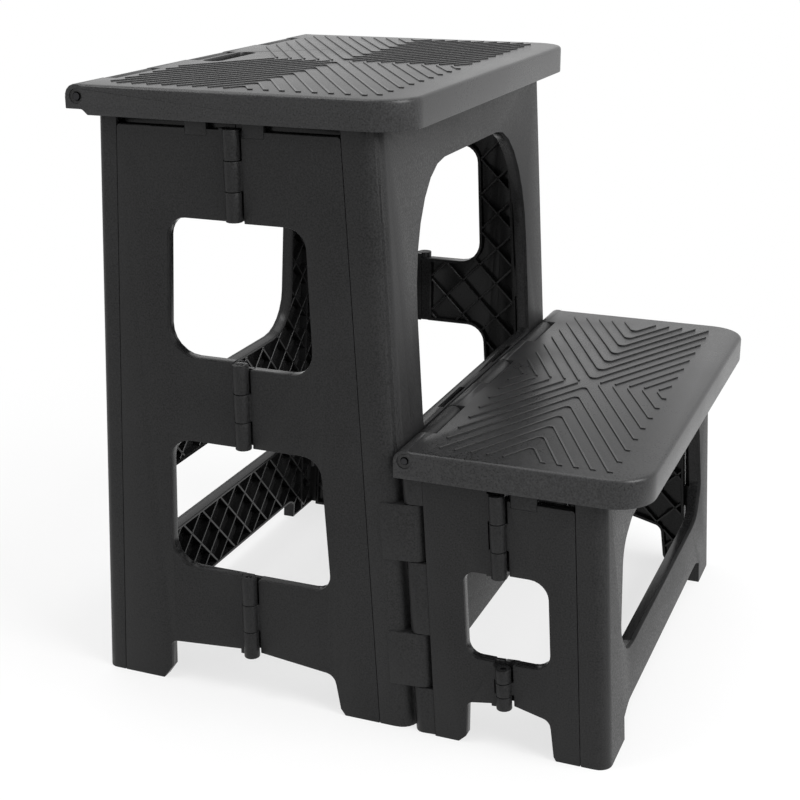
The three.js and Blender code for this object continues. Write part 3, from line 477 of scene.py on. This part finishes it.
def sweep(bm, path, profile, base):
    """A ridge along a flat path, closed at its ends and open below; base is the top's height."""
    rings = []
    count = len(path)
    for i, here in enumerate(path):
        before = path[max(i - 1, 0)]
        after = path[min(i + 1, count - 1)]
        arriving = (here - before).normalized() if i > 0 else None
        leaving = (after - here).normalized() if i < count - 1 else None
        along = ((arriving or leaving) + (leaving or arriving)).normalized()
        side = Vector((-along.y, along.x))
        stretch = 1 / max(along.dot(leaving or arriving), SHARPEST_MITRE)
        ring = []
        for across, up in profile:
            spot = here + side * across * stretch
            place = ((spot.x - ORIGIN_SHIFT) * MM, spot.y * MM, (base + up) * MM)
            ring.append(bm.verts.new(place))
        rings.append(ring)
    for a, b in zip(rings, rings[1:]):
        for k in range(len(profile) - 1):
            bm.faces.new((a[k], a[k + 1], b[k + 1], b[k]))
    bm.faces.new(rings[0])
    bm.faces.new(list(reversed(rings[-1])))


def rounded_bend(before, corner, after, radius, steps):
    """Points that turn the corner on an arc of the given radius."""
    arriving = (corner - before).normalized()
    leaving = (after - corner).normalized()
    turn = math.atan2(arriving.cross(leaving), arriving.dot(leaving))
    cut = radius * math.tan(abs(turn) / 2)
    start = corner - arriving * cut
    normal = Vector((-arriving.y, arriving.x)) * math.copysign(1, turn)
    centre = start + normal * radius
    spoke = start - centre
    points = []
    for k in range(steps + 1):
        angle = turn * k / steps
        points.append(centre + Vector((
            spoke.x * math.cos(angle) - spoke.y * math.sin(angle),
            spoke.x * math.sin(angle) + spoke.y * math.cos(angle),
        )))
    return points


def side_lines(centre, middle, reach, slope, first, pitch, count):
    """Bent lines that point inward from the near and the far side."""
    paths = []
    for side in (-1, 1):
        for k in range(count):
            apex = first + pitch * k
            run = min(reach, (RIDGE_FIELD_HALF - apex) / slope)
            tip = middle + side * (apex + slope * run)
            rear = Vector((centre - run, tip))
            corner = Vector((centre, middle + side * apex))
            front = Vector((centre + run, tip))
            bend = rounded_bend(rear, corner, front, RIDGE_ROUND, RIDGE_BEND_STEPS)
            points = [rear, *bend, front]
            if side < 0:
                points.append(front + Vector((RIDGE_HOOK, 0)))
            paths.append(points)
    return paths


def end_lines(centre, middle, reach, slope, first, pitch, slot_half):
    """Straight lines that point inward from the front and the rear, without those at the slot."""
    paths = []
    for k in range(int(slope * reach / pitch) + 1):
        offset = pitch - first + pitch * k
        start = (offset + RIDGE_PARTING) / slope
        if start > reach - RIDGE_HOOK:
            break
        wide = slope * reach - offset
        for side in (-1, 1):
            inner = middle + side * RIDGE_PARTING
            outer = middle + side * wide
            front = [Vector((centre + start, inner)), Vector((centre + reach, outer))]
            if side < 0:
                front.append(front[-1] + Vector((RIDGE_HOOK, 0)))
            paths.append(front)
            if wide >= slot_half:
                paths.append([Vector((centre - start, inner)), Vector((centre - reach, outer))])
    return paths


def ridges(name, body, top, layout, bent_lines, slot_half=0):
    """All raised lines of one top, as one piece that rides on it."""
    bm = bmesh.new()
    profile = ridge_profile()
    bent = side_lines(count=bent_lines, **layout)
    straight = end_lines(slot_half=slot_half, **layout)
    for path in bent + straight:
        sweep(bm, path, profile, top)
    shade_smooth(new_piece(name, bm, materials["top"], body))


# Crossed ribs behind the skins


def surface_tree(node):
    """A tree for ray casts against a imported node's mesh."""
    mesh = nodes[node].data
    return BVHTree.FromPolygons(
        [vertex.co.copy() for vertex in mesh.vertices],
        [tuple(polygon.vertices) for polygon in mesh.polygons],
    )


def on_bare_skin(tree, to_world, inward, a, b, rib_depth):
    """Whether a ray from behind meets the skin's inner side, and nothing that stands on it."""
    start = to_world @ Vector((a, b, rib_depth + RIB_PROBE)) * MM
    hit, _, _, distance = tree.ray_cast(start, -inward)
    if not hit:
        return False
    depth = (rib_depth + RIB_PROBE) - distance / MM
    return abs(depth - SKIN) < BARE_SKIN_TOLERANCE


def rib_runs(tree, to_world, low, high, rib_depth, lean):
    """Stretches of the crossed lines that lie on the bare inner side of a skin."""
    inward = (to_world @ Vector((0, 0, 1)) - to_world @ Vector((0, 0, 0))).normalized()
    width, height = high[0] - low[0], high[1] - low[1]
    count = int((width + height) / RIB_SPACING) + 1
    steps = int(height / RIB_STEP)
    runs = []
    for k in range(-count, count + 1):
        current = None
        for i in range(steps + 1):
            b = low[1] + i * RIB_STEP
            a = (low[0] + high[0]) / 2 + k * RIB_SPACING + lean * (b - low[1])
            within = low[0] <= a <= high[0]
            bare = within and on_bare_skin(tree, to_world, inward, a, b, rib_depth)
            if bare:
                current = current or [(a, b), (a, b)]
                current[1] = (a, b)
            if current and (not bare or i == steps):
                runs.append(current)
                current = None
    return [run for run in runs if math.dist(*run) > RIB_SHORTEST]


def rib_wall(bm, to_world, run, rib_depth):
    """A thin wall along one run, from just inside the skin to the ribs' depth."""
    start, end = (Vector(point) for point in run)
    along = (end - start).normalized()
    side = Vector((-along.y, along.x)) * RIB_WIDTH / 2
    grow = along * RIB_STEP
    start, end = start - grow, end + grow
    corners = [start - side, end - side, end + side, start + side]
    rings = []
    for depth in (SKIN - RIB_ROOT, rib_depth):
        places = [to_world @ Vector((corner.x, corner.y, depth)) * MM for corner in corners]
        rings.append([bm.verts.new(place) for place in places])
    low, high = rings
    bm.faces.new(low)
    bm.faces.new(list(reversed(high)))
    for i in range(len(corners)):
        j = (i + 1) % len(corners)
        bm.faces.new((low[i], high[i], high[j], low[j]))


def lattice(node, body, to_world, low, high, rib_depth):
    """Ribs that cross at right angles on a node's inner side, between two corners."""
    tree = surface_tree(node)
    bm = bmesh.new()
    for lean in (-1, 1):
        for run in rib_runs(tree, to_world, low, high, rib_depth, lean):
            rib_wall(bm, to_world, run, rib_depth)
    # The ribs take the darker plastic, painted shade for the inside of the skin
    obj = new_piece(node + "_ribs", bm, materials["shaded_gloss"], body)
    bevel = obj.modifiers.new("edges", "BEVEL")
    bevel.width = RIB_EDGE * MM
    bevel.limit_method = "ANGLE"


def side_frame(face, side):
    """Maps (x, z, depth behind the face) of a side panel into the stool."""
    return Matrix((
        (1, 0, 0, -ORIGIN_SHIFT),
        (0, 0, -side, side * face),
        (0, 1, 0, 0),
        (0, 0, 0, 1),
    ))


def leg_frame(foot, outward):
    """Maps (y, height up the lean, depth behind the face) of a leg into the stool."""
    up = Vector((-outward.z * math.copysign(1, outward.x), 0, abs(outward.x)))
    return Matrix((
        (0, up.x, -outward.x, foot - ORIGIN_SHIFT),
        (1, 0, 0, 0),
        (0, up.z, -outward.z, 0),
        (0, 0, 0, 1),
    ))


def panel_lattices():
    stools = (
        ("tall", TALL_FACE, TALL_PANEL_SPANS, TALL_PANEL_HEIGHTS),
        ("step", STEP_FACE, STEP_PANEL_SPANS, STEP_PANEL_HEIGHTS),
    )
    for side_name, side in (("near", -1), ("far", 1)):
        for stool, face, spans, (bottom, top) in stools:
            for half, start, end in spans:
                lattice(
                    f"{stool}_{side_name}_{half}_panel",
                    f"{stool}_{side_name}_{half}",
                    side_frame(face, side),
                    (start, bottom),
                    (end, top),
                    PANEL_RIB_DEPTH,
                )


def leg_lattices():
    for node, body, foot, outward, top in (
        ("tall_rear_leg", "rear_leg", -TALL_FOOT_REACH, REAR_OUT, TALL_LEG_RIB_TOP),
        ("tall_front_leg", "front_leg", TALL_FOOT_REACH, FRONT_OUT, TALL_LEG_RIB_TOP),
        ("step_front_leg", "step_leg", STEP_FOOT_REACH, FRONT_OUT, STEP_LEG_RIB_TOP),
    ):
        lattice(
            node,
            body,
            leg_frame(foot, outward),
            (-LEG_RIB_HALF, LEG_RIB_FOOT),
            (LEG_RIB_HALF, top),
            LEG_RIB_DEPTH,
        )


# Blind pockets under the two slots in the low step's ledge


def tray_box(bm, to_world, low, high):
    """A box between two corners given as (y, height up the lean, depth behind the face)."""
    corners = []
    for y in (low[0], high[0]):
        for height in (low[1], high[1]):
            for depth in (low[2], high[2]):
                corners.append(bm.verts.new(to_world @ Vector((y, height, depth)) * MM))
    for face in BOX_FACES:
        bm.faces.new([corners[k] for k in face])


def ledge_pocket(name, inner, outer):
    """A tray that closes a slot from below: floor, back wall and two ends."""
    to_world = leg_frame(TALL_FOOT_REACH, FRONT_OUT)
    floor_top = POCKET_FLOOR + POCKET_WALL
    back = POCKET_BACK - POCKET_WALL
    boxes = [
        ((inner, POCKET_FLOOR, POCKET_FRONT), (outer, floor_top, POCKET_BACK)),
        ((inner, floor_top, back), (outer, POCKET_TOP, POCKET_BACK)),
    ]
    for start in (inner, outer - POCKET_WALL):
        low = (start, floor_top, POCKET_FRONT)
        boxes.append((low, (start + POCKET_WALL, POCKET_TOP, back)))
    bm = bmesh.new()
    for low, high in boxes:
        tray_box(bm, to_world, low, high)
    # The tray takes the ribs' darker plastic, painted shade for the slot
    new_piece(name, bm, materials["shaded_gloss"], "front_leg")


# Floor, light and camera


def floor_material():
    """Pale floor that keeps the object's shadow and fades to plain white away from it."""
    material, tree, shader = new_material("pale_floor")
    shader.inputs["Roughness"].default_value = FLOOR_ROUGHNESS
    shader.inputs["Specular IOR Level"].default_value = FLOOR_SPECULAR
    place = object_place(tree)
    mottle = noise(tree, place, FLOOR_MOTTLE_SCALE, detail=3)
    shade = blend_colours(tree, mottle, FLOOR_DARK, FLOOR_LIGHT)
    tree.links.new(shade, shader.inputs["Base Color"])
    away = add(tree, "ShaderNodeVectorMath", {0: place}, operation="LENGTH").outputs["Value"]
    fade_inputs = {
        "Value": away,
        "From Min": FADE_START,
        "From Max": FADE_END,
        "To Min": FLOOR_WHITE,
    }
    fade = add(tree, "ShaderNodeMapRange", fade_inputs, interpolation_type="SMOOTHSTEP")
    whiteness = math_node(tree, "MULTIPLY", fade.outputs["Result"], background_ray(tree))
    white = add(tree, "ShaderNodeEmission", {"Color": (1, 1, 1, 1), "Strength": 1.0})
    mix = add(tree, "ShaderNodeMixShader", {0: whiteness})
    tree.links.new(shader.outputs[0], mix.inputs[1])
    tree.links.new(white.outputs[0], mix.inputs[2])
    tree.links.new(mix.outputs[0], tree.nodes["Material Output"].inputs["Surface"])
    return material


def background_ray(tree):
    """1 for rays that show the background: seen directly, in a reflection or through glass."""
    path = add(tree, "ShaderNodeLightPath").outputs
    seen = math_node(tree, "MAXIMUM", path["Is Camera Ray"], path["Is Glossy Ray"])
    return math_node(tree, "MAXIMUM", seen, path["Is Transmission Ray"])


def lay_floor():
    bpy.ops.mesh.primitive_plane_add(size=FLOOR_SIZE)
    floor = bpy.context.object
    floor.name = "floor"
    floor.data.materials.append(floor_material())


def studio_world():
    """A world that shows plain white and lights the object with less than that."""
    world = bpy.data.worlds.new("studio")
    world.use_nodes = True
    bpy.context.scene.world = world
    sky = world.node_tree
    above_fill = math_node(sky, "MULTIPLY", background_ray(sky), 1 - FILL_LIGHT)
    strength = math_node(sky, "ADD", above_fill, FILL_LIGHT)
    background = sky.nodes["Background"]
    background.inputs["Color"].default_value = (1, 1, 1, 1)
    sky.links.new(strength, background.inputs["Strength"])


def soft_box(name, place, aim, side, watts):
    data = bpy.data.lights.new(name, "AREA")
    data.shape = "RECTANGLE"
    data.size = side
    data.size_y = side
    data.energy = watts
    lamp = bpy.data.objects.new(name, data)
    bpy.context.scene.collection.objects.link(lamp)
    lamp.location = place
    direction = Vector(aim) - Vector(place)
    lamp.rotation_euler = direction.to_track_quat("-Z", "Y").to_euler()


def photo_camera():
    azimuth, elevation, roll = CAMERA_AZIMUTH, CAMERA_ELEVATION, CAMERA_ROLL
    right = Vector((math.cos(azimuth), math.sin(azimuth), 0))
    forward = Vector((
        -math.sin(azimuth) * math.cos(elevation),
        math.cos(azimuth) * math.cos(elevation),
        -math.sin(elevation),
    ))
    up = right.cross(forward)
    across = right * math.cos(roll) + up * math.sin(roll)
    upward = up * math.cos(roll) - right * math.sin(roll)
    data = bpy.data.cameras.new("photo_camera")
    data.lens = CAMERA_LENS
    data.sensor_width = CAMERA_SENSOR
    camera = bpy.data.objects.new("photo_camera", data)
    bpy.context.scene.collection.objects.link(camera)
    turn = Matrix((across, upward, -forward)).transposed()
    camera.matrix_world = Matrix.Translation(Vector(CAMERA_AT) * MM) @ turn.to_4x4()
    bpy.context.scene.camera = camera


# The scene

materials = make_materials()
smooth_group = smooth_shading()
dress_packed_nodes()

ridges(
    "tall_top_ridges",
    "tall_top",
    TALL_TOP,
    TALL_RIDGES,
    TALL_BENT_LINES,
    slot_half=HAND_SLOT_HALF,
)
ridges(
    "step_top_ridges",
    "step_top",
    STEP_TOP,
    STEP_RIDGES,
    STEP_BENT_LINES,
)
panel_lattices()
leg_lattices()
ledge_pocket("near_ledge_pocket", -POCKET_OUTER, -POCKET_INNER)
ledge_pocket("far_ledge_pocket", POCKET_INNER, POCKET_OUTER)

lay_floor()
studio_world()
for box in SOFT_BOXES:
    soft_box(*box)
photo_camera()
bpy.context.scene.view_settings.view_transform = "Standard"
